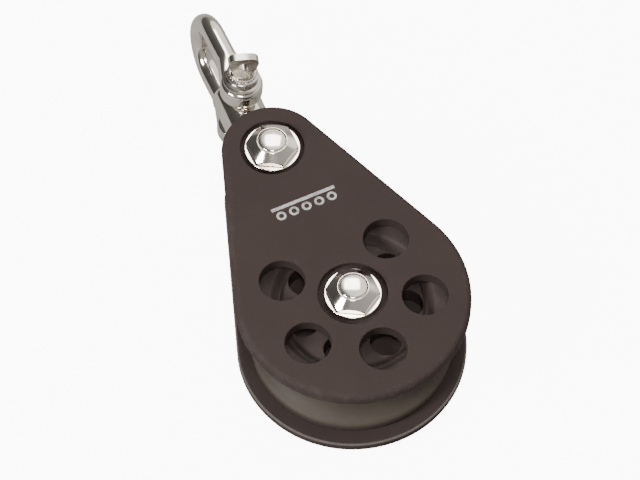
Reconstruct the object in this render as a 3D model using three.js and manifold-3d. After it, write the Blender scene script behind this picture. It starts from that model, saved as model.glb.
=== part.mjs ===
// Single sheave block with a swivelling shackle head. Millimetres, +Z up.
// The block lies on its back: +Z points out of the front cheek, +Y from the sheave towards the shackle.
import * as THREE from 'three';
import { mergeVertices } from 'three/addons/utils/BufferGeometryUtils.js';
import Module from 'manifold-3d';

const wasm = await Module();
wasm.setup();

// Cheeks
const CHEEK_R = 41;
const HEAD_R = 18.2;
const CENTRES = 66.4;
const BLOCK_T = 40;
const CHEEK_T = 5;
const EDGE_ROUND = 1.8;
const WINDOW_R = 8;
const WINDOW_RING = 24.9;
const WINDOW_STEP = 63.4;
const TAIL_WINDOW_R = 8.2;
const TAIL_WINDOW_RING = 24;
const AXLE_RECESS_R = 12.15;
const HEAD_RECESS_R = 11.45;
const RECESS_DEPTH = 2.2;

// Bolts, nuts and washers
const BOLT_R = 5;
const BORE_R = 5.3;
const HEX_AF = 16.5;
const HEX_H = 4.2;
const WASHER_R = 10;
const WASHER_T = 1.8;
const FIT = 0.3;

// Sheave and its bearing
const SHEAVE_R = 36;
const SHEAVE_W = 28;
const GROOVE_R = 10.5;
const GROOVE_ROOT = 29;
const HUB_R = 12.5;
const HUB_W = 25;
const WEB_FACE = 13;
const WEB_R = 24.8;
const TROUGH_FLOOR = 11;
const TROUGH_EDGE_R = 28.4;
const POCKET_R = 5.6;
const POCKET_RING = 18.9;
const POCKET_FLOOR = 6;
const POCKETS = 7;
const FIRST_POCKET = -78;
const BUSH_R = 10;
const SLEEVE_R = 7;

// Head: carrier on the head bolt, post that turns in it
const HEAD_SLEEVE_R = 6.7;
const CARRIER_EYE_R = 11.6;
const CARRIER_HALF_W = 8.9;
const CARRIER_TOP = 16.8;
const STEM_R = 4.8;
const POST_R = 8.6;
const POST_FOOT = 18.4;
const PIN_FROM_BOLT = 33.3;
const POST_SHOULDER = 5;
const POST_END = 8;

// Shackle
const BAR_R = 4;
const LEG_Z = 12.7;
const LEG_LENGTH = 24.8;
const EYE_R = 7.9;
const EYE_T = 7.6;
const PIN_R = 4;
const PIN_BORE_R = 4.3;
const COLLAR_R = 7;
const COLLAR_T = 4.4;
const KEY_W = 11.2;
const KEY_FOOT_W = 6.4;
const KEY_TALL = 9.8;
const KEY_T = 3;
const KEY_TURN = -16.5;

// How the head stands at rest, degrees
const HEAD_LEAN = -3;
const SWIVEL_TURN = 4.5;
const SHACKLE_SWING = 1.8;

const SEG = 28;
const RAD = Math.PI / 180;
const INNER = BLOCK_T / 2 - CHEEK_T;

// ---------- geometry helpers ----------

function clean(geometry) {
  const g = geometry.clone();
  g.deleteAttribute('normal');
  g.deleteAttribute('uv');
  return mergeVertices(g, 1e-4);
}

function solid(geometry) {
  const g = clean(geometry);
  const mesh = new wasm.Mesh({
    numProp: 3,
    vertProperties: new Float32Array(g.attributes.position.array),
    triVerts: new Uint32Array(g.index.array),
  });
  return new wasm.Manifold(mesh);
}

function surface(manifold) {
  const m = manifold.getMesh();
  const g = new THREE.BufferGeometry();
  g.setAttribute('position', new THREE.BufferAttribute(new Float32Array(m.vertProperties), 3));
  g.setIndex(new THREE.BufferAttribute(new Uint32Array(m.triVerts), 1));
  return g;
}

function cut(base, ...tools) {
  return tools.reduce((left, tool) => left.subtract(solid(tool)), solid(base));
}

function join(...parts) {
  return parts.slice(1).reduce((left, part) => left.add(solid(part)), solid(parts[0]));
}

// A turned piece about the Z axis from [radius, z] pairs that run from the axis back to the axis.
function turned(points, segments = SEG) {
  const profile = points.map(([r, z]) => new THREE.Vector2(r, z));
  const g = new THREE.LatheGeometry(profile, segments);
  g.rotateX(Math.PI / 2);
  return g;
}

// A ring about Z with square edges, or with small chamfers when c is set.
function ring(inner, outer, z0, z1, c = 0, segments = SEG) {
  const points = [
    [inner, z0],
    [outer - c, z0],
    [outer, z0 + c],
    [outer, z1 - c],
    [outer - c, z1],
    [inner, z1],
    [inner, z0],
  ];
  const kept = c > 0 ? points : points.filter((p, i) => ![2, 3].includes(i));
  return turned(kept, segments);
}

function rod(radius, z0, z1, segments = SEG) {
  return turned([[0, z0], [radius, z0], [radius, z1], [0, z1]], segments);
}

function at(geometry, x, y, z = 0) {
  geometry.translate(x, y, z);
  return geometry;
}

// ---------- cheeks ----------

function teardrop() {
  const lean = Math.asin((CHEEK_R - HEAD_R) / CENTRES);
  const shape = new THREE.Shape();
  const big = CHEEK_R - EDGE_ROUND;
  const small = HEAD_R - EDGE_ROUND;
  shape.absarc(0, 0, big, Math.PI - lean, 2 * Math.PI + lean, false);
  shape.absarc(0, CENTRES, small, lean, Math.PI - lean, false);
  shape.closePath();
  return shape;
}

// Centre and radius of each of the five windows; the one at the tail is a little larger.
function windowPlaces() {
  return [-2, -1, 0, 1, 2].map((k) => {
    const a = (-90 + k * WINDOW_STEP) * RAD;
    const from = k === 0 ? TAIL_WINDOW_RING : WINDOW_RING;
    return [from * Math.cos(a), from * Math.sin(a), k === 0 ? TAIL_WINDOW_R : WINDOW_R];
  });
}

// Front cheek; the rear one is its mirror image.
function cheek() {
  const plate = new THREE.ExtrudeGeometry(teardrop(), {
    depth: CHEEK_T - 2 * EDGE_ROUND,
    bevelEnabled: true,
    bevelThickness: EDGE_ROUND,
    bevelSize: EDGE_ROUND,
    bevelSegments: 2,
    curveSegments: 18,
  });
  plate.translate(0, 0, INNER + EDGE_ROUND);
  const face = BLOCK_T / 2;
  const windows = windowPlaces().map(([x, y, r]) => at(rod(r, INNER - 1, face + 1, 24), x, y));
  return cut(
    plate,
    ...windows,
    rod(BORE_R, INNER - 1, face + 1),
    rod(AXLE_RECESS_R, face - RECESS_DEPTH, face + 1),
    at(rod(BORE_R, INNER - 1, face + 1), 0, CENTRES),
    at(rod(HEAD_RECESS_R, face - RECESS_DEPTH, face + 1), 0, CENTRES),
  );
}

// ---------- hardware ----------

// A hexagon with a conical crown, standing on z = 0.
function hexCrown(height) {
  const hex = new THREE.CylinderGeometry(HEX_AF / Math.sqrt(3), HEX_AF / Math.sqrt(3), height, 6);
  hex.rotateX(Math.PI / 2);
  hex.translate(0, 0, height / 2);
  const outer = HEX_AF / Math.sqrt(3) + 0.1;
  const crown = turned([[0, -1], [outer, -1], [outer, height - 3.2], [5.4, height], [0, height]]);
  return solid(hex).intersect(solid(crown));
}

function nut(y) {
  const body = hexCrown(HEX_H).subtract(solid(rod(BORE_R, -1, HEX_H + 1)));
  return at(surface(body), 0, y, BLOCK_T / 2 + 0.2);
}

// Hexagon head behind the rear cheek, shank right through, domed end just proud of the nut.
function bolt(y) {
  const head = surface(hexCrown(HEX_H + 0.6));
  head.rotateX(Math.PI);
  head.translate(0, 0, -BLOCK_T / 2 - 0.2);
  const end = BLOCK_T / 2 + HEX_H + 0.5;
  const shank = turned([
    [0, -BLOCK_T / 2 - 0.5],
    [BOLT_R, -BLOCK_T / 2 - 0.5],
    [BOLT_R, end - 0.7],
    [BOLT_R - 0.9, end],
    [0, end + 0.25],
  ]);
  return at(surface(join(head, shank)), 0, y);
}

function washer(y, side) {
  const floor = BLOCK_T / 2 - RECESS_DEPTH + 0.25;
  const g = ring(BORE_R, WASHER_R, floor, floor + WASHER_T, 0.3);
  if (side < 0) g.rotateX(Math.PI);
  return at(g, 0, y);
}

// ---------- sheave ----------

// Wheel with a round rope groove, and each side seven round pockets in the web and a shallow trough round it.
function sheave() {
  const half = SHEAVE_W / 2;
  const hub = HUB_W / 2;
  const centre = GROOVE_ROOT + GROOVE_R;
  const lip = SHEAVE_R - 0.8;
  const open = Math.acos((centre - lip) / GROOVE_R);
  const groove = [];
  for (let i = 0; i <= 10; i += 1) {
    const a = open * (1 - i / 5);
    groove.push([centre - GROOVE_R * Math.cos(a), GROOVE_R * Math.sin(a)]);
  }
  const mouth = groove[0][1];
  const rear = [
    [BUSH_R + FIT, hub],
    [BUSH_R + FIT, -hub],
    [HUB_R, -hub],
    [HUB_R + 0.5, -WEB_FACE],
    [WEB_R - 0.8, -WEB_FACE],
    [WEB_R, -WEB_FACE + 0.9],
    [WEB_R + 0.4, -TROUGH_FLOOR],
    [WEB_R + 1.2, -TROUGH_FLOOR],
    [TROUGH_EDGE_R - 0.3, -half + 0.8],
    [TROUGH_EDGE_R + 0.5, -half],
    [SHEAVE_R - 1.2, -half],
    [SHEAVE_R, -half + 1],
    [SHEAVE_R, -mouth - 0.9],
  ];
  const front = rear.slice(2).reverse().map(([r, z]) => [r, -z]);
  const pockets = [];
  for (let k = 0; k < POCKETS; k += 1) {
    const a = (FIRST_POCKET + (k * 360) / POCKETS) * RAD;
    for (const [low, high] of [[POCKET_FLOOR, half + 1], [-half - 1, -POCKET_FLOOR]]) {
      const pocket = rod(POCKET_R, low, high, 20);
      pockets.push(at(pocket, POCKET_RING * Math.cos(a), POCKET_RING * Math.sin(a)));
    }
  }
  return cut(turned([...rear, ...groove.reverse(), ...front, rear[0]], 44), ...pockets);
}

// ---------- head ----------

// Lower half of the swivel: an eye on the head bolt and a short barrel that takes the post's stem.
function carrier() {
  const barrel = turned([
    [0, 0],
    [POST_R, 0],
    [POST_R, CARRIER_TOP - 0.6],
    [POST_R - 0.6, CARRIER_TOP],
    [0, CARRIER_TOP],
  ]);
  barrel.rotateX(-Math.PI / 2);
  const eye = turned([
    [0, -CARRIER_HALF_W],
    [CARRIER_EYE_R - 0.8, -CARRIER_HALF_W],
    [CARRIER_EYE_R, -CARRIER_HALF_W + 0.8],
    [CARRIER_EYE_R, CARRIER_HALF_W - 0.8],
    [CARRIER_EYE_R - 0.8, CARRIER_HALF_W],
    [0, CARRIER_HALF_W],
  ]);
  const socket = turned([
    [0, 8.9],
    [STEM_R + FIT, 8.9],
    [STEM_R + FIT, 11.2],
    [STEM_R + 1.2, 11.2],
    [STEM_R + 1.2, 13.4],
    [STEM_R + FIT, 13.4],
    [STEM_R + FIT, CARRIER_TOP + 1],
    [0, CARRIER_TOP + 1],
  ]);
  socket.rotateX(-Math.PI / 2);
  return join(eye, barrel)
    .subtract(solid(rod(HEAD_SLEEVE_R + FIT, -20, 20)))
    .subtract(solid(socket));
}

// Upper half of the swivel: stem with a snap-ring groove, round post, cross bore for the shackle pin.
function post() {
  const body = turned([
    [0, 9.3],
    [STEM_R - 0.5, 9.3],
    [STEM_R, 9.8],
    [STEM_R, 11.4],
    [STEM_R - 1.1, 11.4],
    [STEM_R - 1.1, 13.2],
    [STEM_R, 13.2],
    [STEM_R, POST_FOOT],
    [POST_R - 0.6, POST_FOOT],
    [POST_R, POST_FOOT + 0.6],
    [POST_R, PIN_FROM_BOLT + POST_SHOULDER],
    [POST_R - 0.8, PIN_FROM_BOLT + POST_SHOULDER + 1.9],
    [POST_R - 2.9, PIN_FROM_BOLT + POST_END - 0.3],
    [POST_R - 4.4, PIN_FROM_BOLT + POST_END],
    [0, PIN_FROM_BOLT + POST_END],
  ]);
  body.rotateX(-Math.PI / 2);
  return cut(body, at(rod(PIN_BORE_R, -20, 20), 0, PIN_FROM_BOLT));
}

// Split spring ring that keeps the stem in the carrier.
function snapRing() {
  const body = ring(STEM_R - 0.8, STEM_R + 0.9, -0.6, 0.6, 0.2, 36);
  const gap = at(new THREE.BoxGeometry(1.6, 6, 4), 0, STEM_R, 0);
  const split = surface(cut(body, gap));
  split.rotateX(-Math.PI / 2);
  split.translate(0, 12.3, 0);
  return split;
}

function swivelWasher() {
  const g = ring(STEM_R + FIT, POST_R - 0.5, CARRIER_TOP + FIT, POST_FOOT - FIT, 0.2);
  g.rotateX(-Math.PI / 2);
  return g;
}

// ---------- shackle ----------

class BowPath extends THREE.Curve {
  getPoint(t, target = new THREE.Vector3()) {
    const leg = LEG_LENGTH - 4;
    const arc = Math.PI * LEG_Z;
    const s = t * (2 * leg + arc);
    if (s < leg) return target.set(0, 4 + s, LEG_Z);
    if (s < leg + arc) {
      const a = (s - leg) / LEG_Z;
      return target.set(0, LEG_LENGTH + LEG_Z * Math.sin(a), LEG_Z * Math.cos(a));
    }
    return target.set(0, LEG_LENGTH - (s - leg - arc), -LEG_Z);
  }
}

// Round bar bent to a D, drawn as a circle carried along the bar's path.
function bar() {
  const circle = new THREE.Shape();
  circle.absarc(0, 0, BAR_R, 0, 2 * Math.PI, false);
  return new THREE.ExtrudeGeometry(circle, {
    steps: 26,
    curveSegments: 8,
    bevelEnabled: false,
    extrudePath: new BowPath(),
  });
}

function eyeBoss(side) {
  const low = LEG_Z - EYE_T / 2;
  const high = LEG_Z + EYE_T / 2;
  const g = turned([
    [0, low],
    [EYE_R - 0.8, low],
    [EYE_R, low + 0.8],
    [EYE_R, high - 1.4],
    [EYE_R - 0.5, high - 0.5],
    [EYE_R - 1.6, high],
    [0, high],
  ]);
  if (side < 0) g.rotateX(Math.PI);
  return g;
}

function bow() {
  return join(bar(), eyeBoss(1), eyeBoss(-1)).subtract(solid(rod(PIN_BORE_R, -30, 30)));
}

// Pin with a stepped collar and a flat key pierced for a lanyard.
function pin() {
  const face = LEG_Z + EYE_T / 2 + FIT;
  const top = face + COLLAR_T;
  const shank = turned([
    [0, -face - 1.2],
    [PIN_R - 0.8, -face - 1.2],
    [PIN_R, -face - 0.4],
    [PIN_R, face],
    [COLLAR_R - 0.3, face],
    [COLLAR_R, face + 0.4],
    [COLLAR_R, top - 0.3],
    [COLLAR_R - 0.3, top],
    [5.4, top],
    [5.4, top + 0.4],
    [4.8, top + 0.9],
    [0, top + 0.9],
  ]);
  const half = KEY_W / 2;
  const foot = KEY_FOOT_W / 2;
  const outline = new THREE.Shape();
  outline.moveTo(-foot, 0);
  outline.lineTo(foot, 0);
  outline.lineTo(half, KEY_TALL - 4.4);
  outline.lineTo(half, KEY_TALL - 3);
  outline.quadraticCurveTo(half, KEY_TALL - 1.2, half - 1.6, KEY_TALL - 0.8);
  outline.quadraticCurveTo(0, KEY_TALL + 0.8, 1.6 - half, KEY_TALL - 0.8);
  outline.quadraticCurveTo(-half, KEY_TALL - 1.2, -half, KEY_TALL - 3);
  outline.lineTo(-half, KEY_TALL - 4.4);
  outline.closePath();
  const eye = new THREE.Path();
  eye.absarc(0, KEY_TALL - 4.6, 1.9, 0, 2 * Math.PI, true);
  outline.holes.push(eye);
  const key = new THREE.ExtrudeGeometry(outline, {
    depth: KEY_T - 0.8,
    bevelEnabled: true,
    bevelThickness: 0.4,
    bevelSize: 0.4,
    bevelOffset: -0.4,
    bevelSegments: 1,
    curveSegments: 8,
  });
  key.translate(0, 0, -KEY_T / 2 + 0.4);
  key.rotateX(Math.PI / 2);
  key.rotateZ(KEY_TURN * RAD);
  key.translate(0, 0, top);
  return join(shank, key);
}

// ---------- placing ----------

const toBolt = new THREE.Matrix4().makeTranslation(0, CENTRES, 0);
const lean = new THREE.Matrix4().makeRotationZ(HEAD_LEAN * RAD);
const turn = new THREE.Matrix4().makeRotationY(SWIVEL_TURN * RAD);
const swing = new THREE.Matrix4().makeRotationZ(SHACKLE_SWING * RAD);
const toPin = new THREE.Matrix4().makeTranslation(0, PIN_FROM_BOLT, 0);
const carrierPlace = toBolt.clone().multiply(lean);
const postPlace = carrierPlace.clone().multiply(turn);
const shacklePlace = postPlace.clone().multiply(toPin).multiply(swing);

const LOOK = {
  composite: { color: 0x3c3533, roughness: 0.75, metalness: 0 },
  sheave: { color: 0x5b564c, roughness: 0.6, metalness: 0 },
  bush: { color: 0x8d7b4a, roughness: 0.5, metalness: 0.6 },
  steel: { color: 0xc9cbcc, roughness: 0.22, metalness: 1 },
  satin: { color: 0xb4b6b8, roughness: 0.35, metalness: 1 },
  washer: { color: 0xe3e0d6, roughness: 0.6, metalness: 0 },
};

function mesh(name, shape, look, place = null) {
  const g = shape.isBufferGeometry ? clean(shape) : surface(shape);
  if (place) g.applyMatrix4(place);
  g.computeVertexNormals();
  const m = new THREE.Mesh(g, new THREE.MeshStandardMaterial(LOOK[look]));
  m.name = name;
  return m;
}

function mirrored(manifold) {
  return manifold.mirror([0, 0, 1]);
}

const sleeve = INNER - FIT;
const spacer = ring(HEAD_SLEEVE_R + FIT, 10.5, CARRIER_HALF_W + FIT, sleeve, 0.4);
const rearSpacer = ring(HEAD_SLEEVE_R + FIT, 10.5, -sleeve, -CARRIER_HALF_W - FIT, 0.4);
const group = new THREE.Group();
const front = cheek();
group.add(
  mesh('front_cheek', front, 'composite'),
  mesh('rear_cheek', mirrored(front), 'composite'),
  mesh('sheave', sheave(), 'sheave'),
  mesh('sheave_bush', ring(SLEEVE_R + FIT, BUSH_R, -HUB_W / 2 + FIT, HUB_W / 2 - FIT), 'bush'),
  mesh('axle_sleeve', ring(BORE_R, SLEEVE_R, -sleeve, sleeve), 'satin'),
  mesh('thrust_washer_front', ring(SLEEVE_R + FIT, 12, HUB_W / 2 + FIT, sleeve), 'washer'),
  mesh('thrust_washer_rear', ring(SLEEVE_R + FIT, 12, -sleeve, -HUB_W / 2 - FIT), 'washer'),
  mesh('axle_bolt', bolt(0), 'steel'),
  mesh('axle_nut', nut(0), 'steel'),
  mesh('axle_washer_front', washer(0, 1), 'steel'),
  mesh('axle_washer_rear', washer(0, -1), 'steel'),
  mesh('head_bolt', bolt(CENTRES), 'steel'),
  mesh('head_nut', nut(CENTRES), 'steel'),
  mesh('head_washer_front', washer(CENTRES, 1), 'steel'),
  mesh('head_washer_rear', washer(CENTRES, -1), 'steel'),
  mesh('head_sleeve', at(ring(BORE_R, HEAD_SLEEVE_R, -sleeve, sleeve), 0, CENTRES), 'satin'),
  mesh('head_spacer_front', at(spacer, 0, CENTRES), 'washer'),
  mesh('head_spacer_rear', at(rearSpacer, 0, CENTRES), 'washer'),
  mesh('head_carrier', carrier(), 'satin', carrierPlace),
  mesh('swivel_washer', swivelWasher(), 'washer', carrierPlace),
  mesh('swivel_post', post(), 'steel', postPlace),
  mesh('snap_ring', snapRing(), 'satin', postPlace),
  mesh('shackle_bow', bow(), 'steel', shacklePlace),
  mesh('shackle_pin', pin(), 'steel', shacklePlace),
);

// The part's origin is the middle of its underside.
const box = new THREE.Box3().setFromObject(group);
const middle = box.getCenter(new THREE.Vector3());
group.children.forEach((child) => child.geometry.translate(-middle.x, -middle.y, -box.min.z));

export default group;
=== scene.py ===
from math import acos, asin, atan2, cos, pi, radians, sin, sqrt

import bmesh
import bpy
from mathutils import Matrix, Vector


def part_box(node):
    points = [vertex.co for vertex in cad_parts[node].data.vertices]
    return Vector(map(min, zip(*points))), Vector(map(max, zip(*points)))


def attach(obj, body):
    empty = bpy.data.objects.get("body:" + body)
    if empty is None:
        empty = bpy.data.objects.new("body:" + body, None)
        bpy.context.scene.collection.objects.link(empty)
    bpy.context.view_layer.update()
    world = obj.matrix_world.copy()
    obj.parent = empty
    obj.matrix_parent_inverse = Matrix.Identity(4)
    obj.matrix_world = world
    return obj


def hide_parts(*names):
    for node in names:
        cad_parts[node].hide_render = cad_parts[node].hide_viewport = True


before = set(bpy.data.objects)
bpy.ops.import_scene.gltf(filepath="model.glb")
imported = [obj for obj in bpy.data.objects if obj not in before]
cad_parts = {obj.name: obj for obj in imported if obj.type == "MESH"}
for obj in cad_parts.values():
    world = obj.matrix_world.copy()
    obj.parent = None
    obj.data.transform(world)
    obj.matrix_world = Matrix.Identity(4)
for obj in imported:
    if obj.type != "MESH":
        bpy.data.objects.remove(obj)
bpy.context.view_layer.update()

# ---------------------------------------------------------------------------
# Studio. A pale table, a soft light from the left, a small panel behind and
# one over the lens, and a long lens looking down on the block.
# ---------------------------------------------------------------------------
MM = 0.001

eye = bpy.data.cameras.new("studio_camera")
eye.sensor_width = 36
eye.lens = 146.25
eye.clip_end = 20
camera = bpy.data.objects.new("studio_camera", eye)
bpy.context.collection.objects.link(camera)
camera.location = (-202.733 * MM, -451.327 * MM, 819.277 * MM)
to_right = Vector((0.904378, -0.426732, 0.001008))
upward = Vector((0.364167, 0.773010, 0.519460))
backward = Vector((-0.222449, -0.469421, 0.854494))
camera.rotation_euler = Matrix((to_right, upward, backward)).transposed().to_euler()
bpy.context.scene.camera = camera


def softbox(name, place, aim, side, watts):
    lamp = bpy.data.lights.new(name, "AREA")
    lamp.shape = "SQUARE"
    lamp.size = side
    lamp.energy = watts
    box = bpy.data.objects.new(name, lamp)
    bpy.context.collection.objects.link(box)
    box.location = place
    box.rotation_euler = (Vector(aim) - Vector(place)).to_track_quat("-Z", "Y").to_euler()


softbox("window_side", (-0.98, -0.18, 0.74), (0, 0, 0.02), 0.36, 23)
softbox("over_lens", camera.location + 0.08 * backward + 0.1 * upward, (0, 0, 0.02), 0.25, 5.5)
softbox("back_panel", (0.267, 0.563, 1.025), (0, 0, 0.04), 0.36, 3.5)

table = bmesh.new()
bmesh.ops.create_grid(table, x_segments=1, y_segments=1, size=4)
table_mesh = bpy.data.meshes.new("table")
table.to_mesh(table_mesh)
table.free()
table_top = bpy.data.objects.new("table", table_mesh)
bpy.context.collection.objects.link(table_top)


# Shader sums are written as plain sums: a Wire is one output, and + - * / on it
# add Math nodes. A Finish is one material, and its node() adds any other node.
class Wire:
    def __init__(self, finish, socket):
        self.finish = finish
        self.socket = socket

    def sum(self, operation, *terms):
        node = self.finish.tree.nodes.new("ShaderNodeMath")
        node.operation = operation
        for slot, term in zip(node.inputs, terms):
            self.finish.feed(slot, term)
        return Wire(self.finish, node.outputs[0])

    def __add__(self, other): return self.sum("ADD", self, other)
    def __radd__(self, other): return self.sum("ADD", other, self)
    def __sub__(self, other): return self.sum("SUBTRACT", self, other)
    def __rsub__(self, other): return self.sum("SUBTRACT", other, self)
    def __mul__(self, other): return self.sum("MULTIPLY", self, other)
    def __rmul__(self, other): return self.sum("MULTIPLY", other, self)
    def __pow__(self, other): return self.sum("POWER", self, other)
    def __lt__(self, other): return self.sum("LESS_THAN", self, other)
    def __gt__(self, other): return self.sum("GREATER_THAN", self, other)
    def size(self): return self.sum("ABSOLUTE", self)
    def least(self, other): return self.sum("MINIMUM", self, other)
    def most(self, other): return self.sum("MAXIMUM", self, other)


class Nodes:
    def __init__(self, tree, place="Object"):
        self.tree = tree
        self.place = self.node("ShaderNodeTexCoord", output=place)

    def feed(self, slot, value):
        if isinstance(value, Wire):
            self.tree.links.new(value.socket, slot)
        elif isinstance(value, (tuple, list)) and len(value) == 3 and slot.type == "RGBA":
            slot.default_value = (*value, 1)
        else:
            slot.default_value = value

    def node(self, kind, settings=None, inputs=None, output=0):
        made = self.tree.nodes.new(kind)
        for key, value in (settings or {}).items():
            if key == "stops":
                ramp = made.color_ramp.elements
                while len(ramp) < len(value):
                    ramp.new(0.5)
                for stop, (where, shade) in zip(ramp, value):
                    stop.position = where
                    grey = isinstance(shade, (int, float))
                    stop.color = (shade, shade, shade, 1) if grey else (*shade, 1)
            else:
                setattr(made, key, value)
        for key, value in (inputs or {}).items():
            self.feed(made.inputs[key], value)
        return Wire(self, made.outputs[output])

    def noise(self, scale, detail=4, rough=0.5, at=None):
        return self.node(
            "ShaderNodeTexNoise",
            inputs={"Vector": at or self.place, "Scale": scale, "Detail": detail, "Roughness": rough},
        )

    def stretch(self, x, y, z):
        return self.node("ShaderNodeVectorMath", {"operation": "MULTIPLY"}, {0: self.place, 1: (x, y, z)})

    def along(self, x, y, z):
        return self.node(
            "ShaderNodeVectorMath", {"operation": "DOT_PRODUCT"}, {0: self.place, 1: (x, y, z)}, output=1
        )

    def ramp(self, value, *stops):
        return self.node("ShaderNodeValToRGB", {"stops": stops}, {0: value})

    def blend(self, share, first, second):
        return self.node("ShaderNodeMix", {"data_type": "RGBA"}, {0: share, 6: first, 7: second}, output=2)

    def bump(self, height, depth, strength):
        return self.node("ShaderNodeBump", inputs={"Height": height, "Distance": depth, "Strength": strength})


class Finish(Nodes):
    def __init__(self, name, **settings):
        self.material = bpy.data.materials.new(name)
        self.material.use_nodes = True
        self.shader = self.material.node_tree.nodes["Principled BSDF"]
        super().__init__(self.material.node_tree)
        self.give(**settings)

    def give(self, **sockets):
        for socket, value in sockets.items():
            self.feed(self.shader.inputs[socket.replace("_", " ")], value)

    def put_on(self, *pieces):
        for piece in pieces:
            piece.data.materials.clear()
            piece.data.materials.append(self.material)


world = bpy.data.worlds.new("studio_walls")
bpy.context.scene.world = world
world.use_nodes = True
walls = Nodes(world.node_tree, "Generated")
lit_side = walls.along(0.62, 0.38, 0.68)
dim_side = walls.along(-0.75, 0.62, 0.22)
glow = walls.ramp(lit_side, (0.0, 0.0), (0.5, 0.04), (0.765, 0.1), (0.80, 1.0))
dusk = walls.ramp(dim_side, (0.1, 0.0), (0.6, 1.0))
walls.feed(world.node_tree.nodes["Background"].inputs["Color"], (1.0, 0.985, 0.96))
walls.feed(world.node_tree.nodes["Background"].inputs["Strength"], 0.45 + 1.3 * glow - 0.37 * dusk)

paper = Finish("pale_table", Base_Color=(0.3, 0.295, 0.285), Roughness=0.9, Emission_Strength=10)
paper.give(Emission_Color=paper.blend(paper.node("ShaderNodeLightPath"), (0, 0, 0), (1, 1, 1)))
paper.put_on(table_top)


# ---------------------------------------------------------------------------
# Cheeks. Two drop-shaped plates moulded in glass-filled nylon, 5 mm thick,
# with a rounded rim, five round windows and two recesses for the washers.
# The bolts clamp them on the sleeves.
# ---------------------------------------------------------------------------
low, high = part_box("axle_sleeve")
AXLE = (low + high) / 2
low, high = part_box("head_sleeve")
HEAD = (low + high) / 2
HALF_THICK = 20 * MM
PLATE = 5 * MM
CHEEK_RADIUS = 41 * MM
HEAD_RADIUS = 18.2 * MM
RIM_ROUND = 2.2 * MM
BOLT_BORE = 5.3 * MM
SEATS = [(0, 12.15 * MM), (HEAD.y - AXLE.y, 11.45 * MM)]
SEAT_DEPTH = 2.2 * MM
WINDOWS = [(step, 24.9 * MM, 8 * MM) for step in (-2, -1, 1, 2)] + [(0, 24 * MM, 8.2 * MM)]


def piece_from(bm, name):
    bmesh.ops.remove_doubles(bm, verts=bm.verts, dist=1e-7)
    bmesh.ops.recalc_face_normals(bm, faces=bm.faces)
    mesh = bpy.data.meshes.new(name)
    bm.to_mesh(mesh)
    bm.free()
    mesh.shade_smooth()
    piece = bpy.data.objects.new(name, mesh)
    bpy.context.collection.objects.link(piece)
    return piece


def drum(bm, radius, bottom, top, centre=(0, 0), segments=96):
    where = Matrix.Translation((centre[0], centre[1], (bottom + top) / 2))
    return bmesh.ops.create_cone(
        bm, cap_ends=True, segments=segments, radius1=radius, radius2=radius, depth=top - bottom, matrix=where
    )


def settle(piece):
    bpy.context.view_layer.update()
    seen = piece.evaluated_get(bpy.context.evaluated_depsgraph_get())
    mesh = bpy.data.meshes.new_from_object(seen)
    piece.modifiers.clear()
    piece.data = mesh
    piece.data.shade_smooth()
    return piece


def carve(piece, cutter, operation="DIFFERENCE"):
    step = piece.modifiers.new("carve", "BOOLEAN")
    step.operation = operation
    step.solver = "EXACT"
    step.object = cutter
    settle(piece)
    bpy.data.objects.remove(cutter)
    return piece


def even_out(piece):
    flat = piece.modifiers.new("flat_faces", "WEIGHTED_NORMAL")
    flat.keep_sharp = True
    return piece


def soften(piece, width, segments=3, angle=40):
    edge = piece.modifiers.new("soft_edges", "BEVEL")
    edge.width = width
    edge.segments = segments
    edge.limit_method = "ANGLE"
    edge.angle_limit = radians(angle)
    edge.use_clamp_overlap = True
    return even_out(piece)


def cheek_plate(name, side):
    inside = HALF_THICK - PLATE
    bm = bmesh.new()
    drum(bm, CHEEK_RADIUS, inside, HALF_THICK, segments=192)
    drum(bm, HEAD_RADIUS, inside, HALF_THICK, centre=(0, HEAD.y - AXLE.y), segments=128)
    hull = bmesh.ops.convex_hull(bm, input=bm.verts)
    inner = [g for g in hull["geom_interior"] + hull["geom_unused"] if isinstance(g, bmesh.types.BMVert)]
    bmesh.ops.delete(bm, geom=inner, context="VERTS")
    bmesh.ops.delete(bm, geom=[f for f in bm.faces if len(f.verts) > 4], context="FACES_ONLY")
    bmesh.ops.dissolve_limit(bm, angle_limit=radians(0.5), verts=bm.verts, edges=bm.edges)
    rims = [e for e in bm.edges if len(e.link_faces) == 2 and e.calc_face_angle(0) > radians(60)]
    outer = [e for e in rims if e.verts[0].co.z > (inside + HALF_THICK) / 2]
    inner = [e for e in rims if e not in outer]
    for edges, width, steps in ((outer, RIM_ROUND, 8), (inner, 0.4 * MM, 2)):
        bmesh.ops.bevel(
            bm, geom=edges, offset=width, segments=steps,
            profile=0.5, affect="EDGES", material=-1, clamp_overlap=True,
        )
    plate = piece_from(bm, name)

    cut = bmesh.new()
    for step, ring, radius in WINDOWS:
        turn = radians(-90 + step * 63.4)
        drum(cut, radius, inside - MM, HALF_THICK + MM, centre=(ring * cos(turn), ring * sin(turn)))
    for centre, _ in SEATS:
        drum(cut, BOLT_BORE, inside - MM, HALF_THICK - MM, centre=(0, centre))
    windows = piece_from(cut, "windows")
    carve(plate, windows)
    for centre, recess in SEATS:
        seat = bmesh.new()
        drum(seat, recess, HALF_THICK - SEAT_DEPTH, HALF_THICK + MM, centre=(0, centre))
        carve(plate, piece_from(seat, "seat"))
    stand = Matrix.Translation(AXLE)
    if side < 0:
        stand = stand @ Matrix.Scale(-1, 4, (0, 0, 1))
    plate.data.transform(stand)
    if side < 0:
        plate.data.flip_normals()
    return soften(plate, 0.45 * MM, angle=50)


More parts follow.
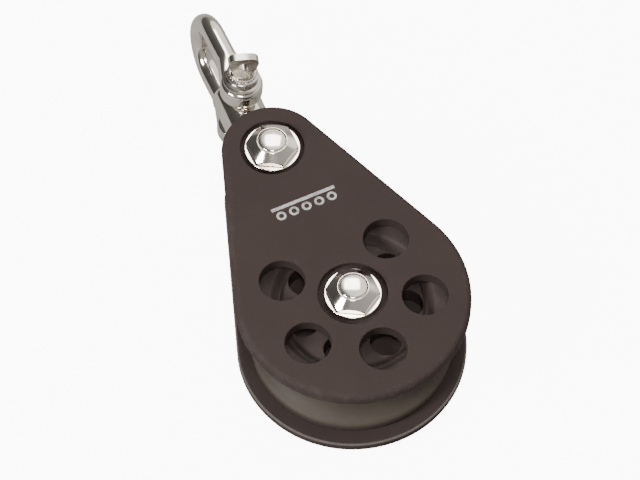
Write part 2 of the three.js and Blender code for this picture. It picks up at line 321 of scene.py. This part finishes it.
moulding = Finish("moulded_cheek_nylon", Specular_IOR_Level=0.12)
grain = moulding.noise(1500, detail=3)
clouds = moulding.noise(60, detail=3)
scuffs = moulding.noise(1.0, detail=5, rough=0.7, at=moulding.stretch(420, 150, 420))
tone = moulding.ramp(
    clouds * 0.6 + grain * 0.4, (0.3, (0.0302, 0.0209, 0.0193)), (0.7, (0.0358, 0.0251, 0.0232))
)
where = moulding.node("ShaderNodeSeparateXYZ", inputs={0: moulding.place})
right, along, out = (Wire(moulding, socket) for socket in where.socket.node.outputs)

# How far a point lies inside the drop's outline: the outline is two circles and the lines that touch both.
lean = asin((CHEEK_RADIUS - HEAD_RADIUS) / (HEAD.y - AXLE.y))
reach = (right * right + (along - AXLE.y) * (along - AXLE.y)) ** 0.5
head_reach = (right * right + (along - HEAD.y) * (along - HEAD.y)) ** 0.5
flank = CHEEK_RADIUS - right.size() * cos(lean) - (along - AXLE.y) * sin(lean)
past_flank = (along < AXLE.y + CHEEK_RADIUS * sin(lean)) + (along > HEAD.y + HEAD_RADIUS * sin(lean))
flank_inset = flank.least(0.02) - 0.04 * past_flank
inset = (CHEEK_RADIUS - reach).most((HEAD_RADIUS - head_reach).most(flank_inset))
from_middle = (out - AXLE.z).size()
# A thin paler line at the foot of the rim, on the inner side, is a painted highlight standing in for the lit
# lower edge of the rim.
inner_edge_highlight = (from_middle < HALF_THICK - PLATE + 0.5 * MM) * (inset < 0.7 * MM)
rub = moulding.ramp(inset * 400, (0.0, 1.0), (1.0, 0.0)) * moulding.ramp(scuffs, (0.45, 0.0), (0.7, 0.5))
scratches = moulding.ramp(scuffs, (0.62, 0.0), (0.78, 1.0))
# The paler colour mixes a painted highlight (the inner edge line) with real wear (the rubbed rim and the
# scratches).
wear_and_edge_highlight = moulding.blend(inner_edge_highlight.most(rub * 0.4 + scratches * 0.12), tone, (0.095, 0.082, 0.076))

# The pad-printed mark: a plain bar with a row of rings under it, on the front face only.
MARK_X = 0.6 * MM
MARK_Y = AXLE.y + 40.1 * MM
across = (right - MARK_X).size()
up = along - MARK_Y
front_only = out > AXLE.z + HALF_THICK - 0.6 * MM
bar = (across < 12.2 * MM) * ((up - 1.9 * MM).size() < 0.65 * MM)
pitch = moulding.node("ShaderNodeMath", {"operation": "PINGPONG"}, {0: right - MARK_X, 1: 2.44 * MM})
ring_reach = (pitch * pitch + (up + 1.3 * MM) * (up + 1.3 * MM)) ** 0.5
rings = (across < 12.3 * MM) * ((ring_reach - 1.35 * MM).size() < 0.42 * MM)
print_wear = moulding.ramp(moulding.noise(900, detail=4, rough=0.7), (0.34, 0.25), (0.5, 1.0))
ink = front_only * bar.most(rings) * print_wear
moulding.give(
    Base_Color=moulding.blend(ink * 0.9, wear_and_edge_highlight, (0.42, 0.41, 0.395)),
    Roughness=0.66 + 0.2 * grain + 0.08 * clouds - 0.12 * rub,
    Normal=moulding.bump(grain * 0.9 - scratches * 0.25 + ink * 0.2, 0.06 * MM, 0.5),
)
front_plate = cheek_plate("front_cheek_plate", 1)
rear_plate = cheek_plate("rear_cheek_plate", -1)
moulding.put_on(front_plate, rear_plate)
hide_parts("front_cheek")
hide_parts("rear_cheek")
for plate in (front_plate, rear_plate):
    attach(plate, "cheeks")


# ---------------------------------------------------------------------------
# Sheave. A wheel turned from a filled acetal moulding, with a round rope
# groove and, on each side, seven round pockets inside a shallow trough. It
# turns on a pressed-in bush.
# ---------------------------------------------------------------------------
def turned(name, outline, steps=128, close=False):
    bm = bmesh.new()
    points = [bm.verts.new((r, 0, z)) for r, z in outline]
    edges = [bm.edges.new(pair) for pair in zip(points, points[1:])]
    if close:
        edges.append(bm.edges.new((points[-1], points[0])))
    bmesh.ops.spin(
        bm, geom=points + edges, cent=(0, 0, 0), axis=(0, 0, 1), dvec=(0, 0, 0),
        angle=2 * pi, steps=steps, use_merge=True,
    )
    return piece_from(bm, name)


def place(piece, *moves):
    for move in moves:
        piece.data.transform(move)
    return piece


GROOVE_CENTRE = 39.5 * MM
GROOVE_RADIUS = 10.5 * MM
POCKETS = 7
POCKET_RING = 18.9 * MM
POCKET_RADIUS = 5.6 * MM
POCKET_FLOOR = 6 * MM

lip = acos((GROOVE_CENTRE - 35.2 * MM) / GROOVE_RADIUS)
groove = [
    (GROOVE_CENTRE - GROOVE_RADIUS * cos(lip * k / 16), GROOVE_RADIUS * sin(lip * k / 16))
    for k in range(-16, 17)
]
mouth = groove[-1][1]
half_section = [
    (10.3, 12.5), (12.5, 12.5), (12.8, 12.7), (13.1, 13), (23.7, 13), (24.4, 12.75), (24.9, 12.1),
    (25.2, 11.4), (25.6, 11.05), (26.1, 11.1), (26.8, 11.6), (28.0, 13.2), (28.4, 13.65), (28.9, 13.9),
    (29.5, 14), (34.9, 14), (35.6, 13.7), (35.95, 13.1), (36, 12.6),
]
half_section = [(r * MM, z * MM) for r, z in half_section]
half_section += [(36 * MM, mouth + 1.2 * MM), (35.8 * MM, mouth + 0.5 * MM)]
wheel = turned(
    "grooved_sheave",
    [(r, -z) for r, z in half_section] + groove + half_section[::-1],
    steps=168,
    close=True,
)
pockets = bmesh.new()
for k in range(POCKETS):
    turn = radians(-78 + k * 360 / POCKETS)
    spot = (POCKET_RING * cos(turn), POCKET_RING * sin(turn))
    drum(pockets, POCKET_RADIUS, POCKET_FLOOR, 15 * MM, centre=spot, segments=72)
    drum(pockets, POCKET_RADIUS, -15 * MM, -POCKET_FLOOR, centre=spot, segments=72)
carve(wheel, piece_from(pockets, "pockets"))
place(wheel, Matrix.Translation(AXLE))
soften(wheel, 0.35 * MM, 3, angle=55)

acetal = Finish("turned_sheave_acetal", Specular_IOR_Level=0.2)
mottle = acetal.noise(90, detail=4)
rings = acetal.noise(1.0, detail=2, at=acetal.stretch(0, 0, 2600))
spread = acetal.node("ShaderNodeSeparateXYZ", inputs={0: acetal.place})
east, north, height = (Wire(acetal, socket) for socket in spread.socket.node.outputs)
radius = (east * east + (north - AXLE.y) * (north - AXLE.y)) ** 0.5
in_groove = ((height - AXLE.z).size() < 11 * MM) * (radius > 28.6 * MM)
# Painted light: the groove gets a lighter, greener tone for the light it catches in the open, and the sides a
# darker tone for the shade they lie in between the cheeks. The lower roughness in the groove is the rope's
# polish.
side_shaded_tone = acetal.ramp(mottle, (0.3, (0.037, 0.0262, 0.0240)), (0.7, (0.044, 0.0315, 0.0288)))
groove_lit_tone = acetal.ramp(mottle, (0.3, (0.045, 0.0350, 0.0275)), (0.7, (0.053, 0.0415, 0.0330)))
acetal.give(
    Base_Color=acetal.blend(in_groove, side_shaded_tone, groove_lit_tone),
    Roughness=0.62 + 0.2 * mottle - 0.12 * in_groove,
    Normal=acetal.bump(rings * 0.5 + acetal.noise(1800) * 0.5, 0.03 * MM, 0.4),
)
acetal.put_on(wheel)
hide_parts("sheave")
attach(wheel, "sheave")


# ---------------------------------------------------------------------------
# Bearing pieces. The bush is sintered bronze, the thrust washers and the head
# spacers are turned from pale acetal, and the sleeves are satin steel tube.
# ---------------------------------------------------------------------------
def collar(name, inner, outer, bottom, top, centre, steps=96):
    ring = turned(name, [(inner, bottom), (outer, bottom), (outer, top), (inner, top)], steps, close=True)
    return soften(place(ring, Matrix.Translation(centre)), 0.25 * MM, 2)


bush = collar("bronze_bush", 7.3 * MM, 10 * MM, -12.2 * MM, 12.2 * MM, AXLE)
axle_tube = collar("axle_tube", 5.3 * MM, 7 * MM, -14.7 * MM, 14.7 * MM, AXLE)
head_tube = collar("head_tube", 5.3 * MM, 6.7 * MM, -14.7 * MM, 14.7 * MM, HEAD)
thrust_front = collar("front_thrust_ring", 7.3 * MM, 12 * MM, 12.8 * MM, 14.7 * MM, AXLE)
thrust_rear = collar("rear_thrust_ring", 7.3 * MM, 12 * MM, -14.7 * MM, -12.8 * MM, AXLE)
spacer_front = collar("front_head_spacer", 7 * MM, 10.5 * MM, 9.2 * MM, 14.7 * MM, HEAD)
spacer_rear = collar("rear_head_spacer", 7 * MM, 10.5 * MM, -14.7 * MM, -9.2 * MM, HEAD)

bronze = Finish("sintered_bronze", Metallic=1.0)
pores = bronze.noise(2200, detail=2)
bronze.give(
    Base_Color=bronze.ramp(pores, (0.35, (0.30, 0.20, 0.09)), (0.6, (0.48, 0.34, 0.17))),
    Roughness=0.45 + 0.2 * pores,
    Normal=bronze.bump(pores, 0.05 * MM, 0.6),
)
bronze.put_on(bush)
pale = Finish("pale_acetal", Specular_IOR_Level=0.4)
speck = pale.noise(700, detail=3)
pale.give(
    Base_Color=pale.ramp(speck, (0.3, (0.60, 0.58, 0.52)), (0.7, (0.70, 0.68, 0.62))),
    Roughness=0.4 + 0.15 * speck,
    Normal=pale.bump(speck, 0.02 * MM, 0.4),
)
pale.put_on(thrust_front, thrust_rear, spacer_front, spacer_rear)
satin = Finish("satin_stainless", Metallic=1.0)
brush = satin.noise(1.0, detail=3, at=satin.stretch(300, 300, 3000))
satin.give(
    Base_Color=satin.ramp(brush, (0.3, (0.52, 0.49, 0.45)), (0.7, (0.63, 0.60, 0.555))),
    Roughness=0.26 + 0.14 * brush,
    Normal=satin.bump(brush, 0.02 * MM, 0.4),
)
satin.put_on(axle_tube, head_tube)
for ring, node, body, slot in (
    (bush, "sheave_bush", "sheave", "bush"),
    (axle_tube, "axle_sleeve", "cheeks", "stainless_satin"),
    (head_tube, "head_sleeve", "cheeks", "stainless_satin"),
    (thrust_front, "thrust_washer_front", "cheeks", "bearing_plastic"),
    (thrust_rear, "thrust_washer_rear", "cheeks", "bearing_plastic"),
    (spacer_front, "head_spacer_front", "cheeks", "bearing_plastic"),
    (spacer_rear, "head_spacer_rear", "cheeks", "bearing_plastic"),
):
    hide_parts(node)
    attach(ring, body)


# ---------------------------------------------------------------------------
# Bolts, nuts and washers. M10 stainless, polished: a hexagon with a conical
# crown each side, over a washer let into the cheek. The bolt end is domed.
# ---------------------------------------------------------------------------
HEX_CORNER = 16.5 / sqrt(3) * MM
WASHER_RADIUS = 10 * MM
WASHER_THICK = 1.8 * MM


def hexagon(name, height, bore=0.0):
    bm = bmesh.new()
    bmesh.ops.create_cone(
        bm, cap_ends=True, segments=6, radius1=HEX_CORNER, radius2=HEX_CORNER, depth=height,
        matrix=Matrix.Translation((0, 0, height / 2)),
    )
    hexed = piece_from(bm, name)
    crown = turned(
        "crown",
        [
            (0, -MM),
            (HEX_CORNER * 1.05, -MM),
            (HEX_CORNER * 1.05, height - 3.4 * MM),
            (5.7 * MM, height - 0.12 * MM),
            (5.4 * MM, height),
            (0, height),
        ],
        96,
    )
    carve(hexed, crown, "INTERSECT")
    if bore:
        core = bmesh.new()
        drum(core, bore, -MM, height + MM)
        carve(hexed, piece_from(core, "core"))
    return hexed


polished = Finish("polished_stainless", Metallic=1.0)
smear = polished.noise(140, detail=4)
fine = polished.noise(1.0, detail=2, at=polished.stretch(900, 900, 2400))
polished.give(
    Base_Color=polished.ramp(smear, (0.3, (0.70, 0.650, 0.585)), (0.7, (0.80, 0.745, 0.675))),
    Roughness=0.06 + 0.10 * smear,
    Normal=polished.bump(fine * 0.6 + smear * 0.4, 0.015 * MM, 0.35),
)

for where, spot in (("axle", AXLE), ("head", HEAD)):
    nut = hexagon(where + "_nut_domed", 4.2 * MM, bore=5.2 * MM)
    place(nut, Matrix.Translation(spot + Vector((0, 0, HALF_THICK + 0.2 * MM))))
    head = hexagon(where + "_bolt_polished", 4.8 * MM)
    end = HALF_THICK + 4.7 * MM
    shank = turned(
        "shank",
        [
            (0, -HALF_THICK - 0.5 * MM),
            (5 * MM, -HALF_THICK - 0.5 * MM),
            (5 * MM, end - 2 * MM),
            (5.1 * MM, end - 1.5 * MM),
            (5.1 * MM, end - 0.8 * MM),
            (4.7 * MM, end - 0.25 * MM),
            (4.2 * MM, end),
            (2.2 * MM, end + 0.15 * MM),
            (0, end + 0.2 * MM),
        ],
        96,
    )
    place(head, Matrix.Rotation(pi, 4, "X"), Matrix.Translation((0, 0, -HALF_THICK - 0.2 * MM)))
    carve(head, shank, "UNION")
    place(head, Matrix.Translation(spot))
    discs = []
    for side, sense in (("front", 1), ("rear", -1)):
        top = HALF_THICK - 0.15 * MM
        disc = turned(
            f"{where}_{side}_washer_polished",
            [
                (BOLT_BORE, top - WASHER_THICK), (WASHER_RADIUS, top - WASHER_THICK),
                (WASHER_RADIUS, top), (BOLT_BORE, top),
            ],
            96, close=True,
        )
        if sense < 0:
            place(disc, Matrix.Rotation(pi, 4, "X"))
        place(disc, Matrix.Translation(spot))
        discs.append(soften(disc, 0.3 * MM, 3))
        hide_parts(f"{where}_washer_{side}")
    soften(nut, 0.12 * MM, 2, angle=20)
    soften(head, 0.12 * MM, 2, angle=25)
    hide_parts(where + "_nut")
    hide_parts(where + "_bolt")
    for metal in (nut, head, *discs):
        polished.put_on(metal)
        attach(metal, "cheeks")


# ---------------------------------------------------------------------------
# Head. A satin steel carrier swings on the head bolt's tube, and a polished
# round post turns in it on a stem, held by a split ring and a plastic washer.
# ---------------------------------------------------------------------------
LEAN = Matrix.Translation(HEAD) @ Matrix.Rotation(radians(-3), 4, "Z")
POST = LEAN @ Matrix.Rotation(radians(4.5), 4, "Y")
UPRIGHT = Matrix.Rotation(-pi / 2, 4, "X")
PIN_BORE = 4.3 * MM
PIN_FROM_BOLT = 33.3 * MM

lug = turned(
    "steel_carrier",
    [(r * MM, z * MM) for r, z in ((0, -8.9), (11, -8.9), (11.6, -8.3), (11.6, 8.3), (11, 8.9), (0, 8.9))],
    128,
)
barrel = turned(
    "barrel", [(r * MM, z * MM) for r, z in ((0, 0), (8.6, 0), (8.6, 16.3), (8.1, 16.8), (0, 16.8))], 128
)
place(barrel, UPRIGHT)
carve(lug, barrel, "UNION")
bore = bmesh.new()
drum(bore, 7 * MM, -20 * MM, 20 * MM)
carve(lug, piece_from(bore, "bore"))
socket = turned("socket", [(r * MM, z * MM) for r, z in ((0, 8.9), (5.1, 8.9), (5.1, 18), (0, 18))], 96)
place(socket, UPRIGHT)
carve(lug, socket)
soften(lug, 0.3 * MM, 3, angle=35)
place(lug, LEAN)
satin.put_on(lug)
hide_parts("head_carrier")
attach(lug, "head")

swivel_disc = turned(
    "swivel_disc",
    [(r * MM, z * MM) for r, z in ((5.1, 17.1), (8.1, 17.1), (8.1, 18.1), (5.1, 18.1))],
    96, close=True,
)
place(swivel_disc, UPRIGHT, LEAN)
soften(swivel_disc, 0.2 * MM, 2)
pale.put_on(swivel_disc)
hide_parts("swivel_washer")
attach(swivel_disc, "head")

post = turned(
    "swivel_post_polished",
    [(r * MM, z * MM) for r, z in (
        (0, 9.3), (4.3, 9.3), (4.8, 9.8), (4.8, 11.4), (3.7, 11.4), (3.7, 13.2), (4.8, 13.2), (4.8, 18.4),
        (8, 18.4), (8.42, 18.58), (8.6, 19), (8.6, 38.3), (8.45, 39.3), (7.95, 40.1), (7.1, 40.75),
        (5.7, 41.15), (3.5, 41.3), (0, 41.3),
    )],
    144,
)
place(post, UPRIGHT)
cross = bmesh.new()
drum(cross, PIN_BORE, -20 * MM, 20 * MM, centre=(0, PIN_FROM_BOLT))
carve(post, piece_from(cross, "cross"))
soften(post, 0.35 * MM, 3, angle=35)
place(post, POST)
polished.put_on(post)
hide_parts("swivel_post")
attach(post, "post")

satin.put_on(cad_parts["snap_ring"])


# ---------------------------------------------------------------------------
# Shackle bow. An 8 mm round bar forged into a D, its ends swelled into flat
# eyes for the pin, then polished all over.
# ---------------------------------------------------------------------------
EYE_HALF_THICK = 3.8
PIN = POST @ Matrix.Translation((0, PIN_FROM_BOLT, 0))
BOW = PIN @ Matrix.Rotation(radians(1.8), 4, "Z")
LEG = 12.7 * MM
CROWN = 24.8 * MM

bm = bmesh.new()
made = bmesh.ops.create_circle(
    bm, segments=48, radius=4 * MM,
    matrix=Matrix.Translation((0, 6 * MM, LEG)) @ Matrix.Rotation(pi / 2, 4, "X"),
)
ends = list({e for v in made["verts"] for e in v.link_edges})
leg = bmesh.ops.extrude_edge_only(bm, edges=ends)
moved = [g for g in leg["geom"] if isinstance(g, bmesh.types.BMVert)]
bmesh.ops.translate(bm, verts=moved, vec=(0, CROWN - 6 * MM, 0))
ends = [g for g in leg["geom"] if isinstance(g, bmesh.types.BMEdge)]
arc = bmesh.ops.spin(
    bm, geom=moved + ends, cent=(0, CROWN, 0), axis=(1, 0, 0), dvec=(0, 0, 0), angle=-pi, steps=48
)
tip = [g for g in arc["geom_last"] if isinstance(g, bmesh.types.BMEdge)]
far = bmesh.ops.extrude_edge_only(bm, edges=tip)
bmesh.ops.translate(
    bm, verts=[g for g in far["geom"] if isinstance(g, bmesh.types.BMVert)], vec=(0, 6 * MM - CROWN, 0)
)
bmesh.ops.holes_fill(bm, edges=[e for e in bm.edges if e.is_boundary])
d_bar = piece_from(bm, "shackle_bow_polished")

for side in (1, -1):
    boss = turned(
        "boss",
        [(r * MM, z * MM) for r, z in (
            (0, -EYE_HALF_THICK), (6.9, -EYE_HALF_THICK), (7.6, -3.4), (7.9, -2.6), (7.9, 2.2), (7.5, 3.1),
            (6.6, 3.7), (6.1, EYE_HALF_THICK), (0, EYE_HALF_THICK),
        )],
        96,
    )
    if side < 0:
        place(boss, Matrix.Rotation(pi, 4, "X"))
    place(boss, Matrix.Translation((0, 0, side * LEG)))
    carve(d_bar, boss, "UNION")
    bm = bmesh.new()
    bmesh.ops.create_circle(
        bm, segments=40, radius=3.98 * MM,
        matrix=Matrix.Translation((0, 14 * MM, side * LEG)) @ Matrix.Rotation(pi / 2, 4, "X"),
    )
    for level in (-3.2, 0, 3.2):
        wide = 7.0 * MM if level else 7.8 * MM
        bmesh.ops.create_circle(
            bm, segments=64, radius=wide, matrix=Matrix.Translation((0, 0, side * LEG + level * MM))
        )
    hull = bmesh.ops.convex_hull(bm, input=bm.verts)
    loose = [g for g in hull["geom_interior"] + hull["geom_unused"] if isinstance(g, bmesh.types.BMVert)]
    bmesh.ops.delete(bm, geom=loose, context="VERTS")
    carve(d_bar, piece_from(bm, "neck"), "UNION")

forge = d_bar.modifiers.new("forge", "REMESH")
forge.mode = "VOXEL"
forge.voxel_size = 0.28 * MM
calm = d_bar.modifiers.new("calm", "SMOOTH")
calm.factor = 0.5
calm.iterations = 40
settle(d_bar)
hole = bmesh.new()
drum(hole, PIN_BORE, -20 * MM, 20 * MM)
carve(d_bar, piece_from(hole, "hole"))
place(d_bar, BOW)
d_bar.data.set_sharp_from_angle(angle=radians(45))
polished.put_on(d_bar)
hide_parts("shackle_bow")
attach(d_bar, "shackle")


# ---------------------------------------------------------------------------
# Shackle pin. Turned stainless with a broad flange, a serrated neck and a flat
# forged key, pierced for a lanyard. It screws into the far eye.
# ---------------------------------------------------------------------------
face = 16.8 * MM
top = face + 4.4 * MM
pin = turned(
    "shackle_pin_polished",
    [(r * MM, face + z * MM) for r, z in (
        (0, -34.8), (3.2, -34.8), (4, -34), (4, 0), (6.7, 0), (6.92, 0.15), (7.0, 0.45), (6.9, 0.75),
        (6.5, 0.95), (5.9, 1.15), (5.8, 1.4), (5.8, 3.5), (5.95, 3.8), (5.9, 4.15), (5.6, 4.35), (5.3, 4.4),
        (5.2, 4.6), (5.3, 4.85), (5.28, 5.0), (5.2, 5.15), (5.0, 5.22), (4.7, 5.26), (4.2, 5.28), (0, 5.28),
    )],
    224,
)
TEETH = 28
for v in pin.data.vertices:
    rise = (v.co.z - face) / MM
    if rise > 4.5 and v.co.xy.length > 4.3 * MM:
        v.co.xy *= 0.97 - 0.03 * cos(TEETH * atan2(v.co.y, v.co.x))
bm = bmesh.new()
half_key = [(0, 9.75), (2.8, 9.55), (5.55, 8.95), (5.6, 5.0), (3.3, 1.2), (3.3, 0)]
outline = half_key + [(-x, z) for x, z in half_key[:0:-1]]
bm.faces.new([bm.verts.new((x * MM, -1.5 * MM, top + z * MM)) for x, z in outline])
for corner, radius in ((5.55, 1.9), (5.6, 3.0), (3.3, 1.2)):
    picked = [v for v in bm.verts if abs(abs(v.co.x) - corner * MM) < 0.01 * MM and v.co.z > top + MM]
    bmesh.ops.bevel(
        bm, geom=picked, offset=radius * MM, segments=8, profile=0.5, affect="VERTICES", material=-1
    )
raised = bmesh.ops.extrude_face_region(bm, geom=bm.faces[:])["geom"]
bmesh.ops.translate(bm, verts=[g for g in raised if isinstance(g, bmesh.types.BMVert)], vec=(0, 3 * MM, 0))
bmesh.ops.recalc_face_normals(bm, faces=bm.faces)
arris = [e for e in bm.edges if e.is_manifold and e.calc_face_angle() > radians(60)]
bmesh.ops.bevel(
    bm, geom=arris, offset=0.5 * MM, segments=4, profile=0.5, affect="EDGES", material=-1, clamp_overlap=True
)
key = piece_from(bm, "key")
pierce = bmesh.new()
drum(pierce, 1.9 * MM, -5 * MM, 5 * MM, segments=64)
eyelet = piece_from(pierce, "eyelet")
place(eyelet, Matrix.Rotation(pi / 2, 4, "X"), Matrix.Translation((0, 0, top + 5.2 * MM)))
carve(key, eyelet)
place(key, Matrix.Rotation(radians(-16.5), 4, "Z"))
carve(pin, key, "UNION")
pin.data.set_sharp_from_angle(angle=radians(38))
even_out(pin)
place(pin, BOW)
forged = Finish("pin_stainless", Metallic=1.0)
cast = forged.noise(260, detail=4)
forged.give(
    Base_Color=forged.ramp(cast, (0.3, (0.46, 0.425, 0.38)), (0.7, (0.60, 0.56, 0.505))),
    Roughness=0.13 + 0.14 * cast,
    Normal=forged.bump(cast, 0.03 * MM, 0.4),
)
forged.put_on(pin)
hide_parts("shackle_pin")
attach(pin, "pin")
